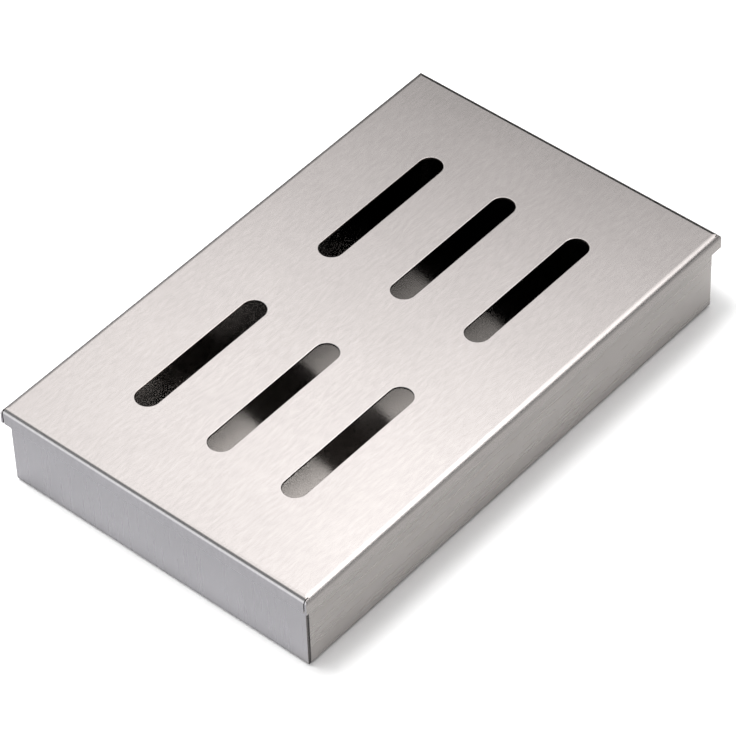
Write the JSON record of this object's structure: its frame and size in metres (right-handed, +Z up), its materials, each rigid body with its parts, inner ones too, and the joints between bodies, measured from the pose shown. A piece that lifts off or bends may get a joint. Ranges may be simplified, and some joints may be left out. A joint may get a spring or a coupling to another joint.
{
  "type": "smoker box",
  "caption": "Low rectangular smoker box of brushed stainless sheet: a folded tray with a slotted lid hinged along its long back side.",
  "frame": {"origin": "middle of the tray's underside, on the surface that the box stands on", "axes": "+X along the box's long side, +Y across it towards the hinges, +Z up"},
  "size_m": [0.2106, 0.1322, 0.0334],
  "materials": {
    "lid_steel": "satin, brushed along the box",
    "tray_steel": "satin, brushed along each wall",
    "hinge_steel": "satin",
    "fastener_steel": "plain"
  },
  "bodies": {
    "tray": {"tray": "tray_steel", "tray_rivets": "fastener_steel", "tray_hinge_leaf_left": "hinge_steel", "hinge_pin_left": "fastener_steel", "tray_hinge_leaf_right": "hinge_steel", "hinge_pin_right": "fastener_steel"},
    "lid": {"lid": "lid_steel", "lid_rivets": "fastener_steel", "lid_hinge_leaf_left": "hinge_steel", "lid_hinge_leaf_right": "hinge_steel"}
  },
  "joints": [
    {"name": "lid_hinge", "type": "hinge", "parent": "tray", "child": "lid", "pos_m": [0, 0.06505, 0.02545], "axis": [-1, 0, 0], "range_deg": [0, 155]}
  ]
}
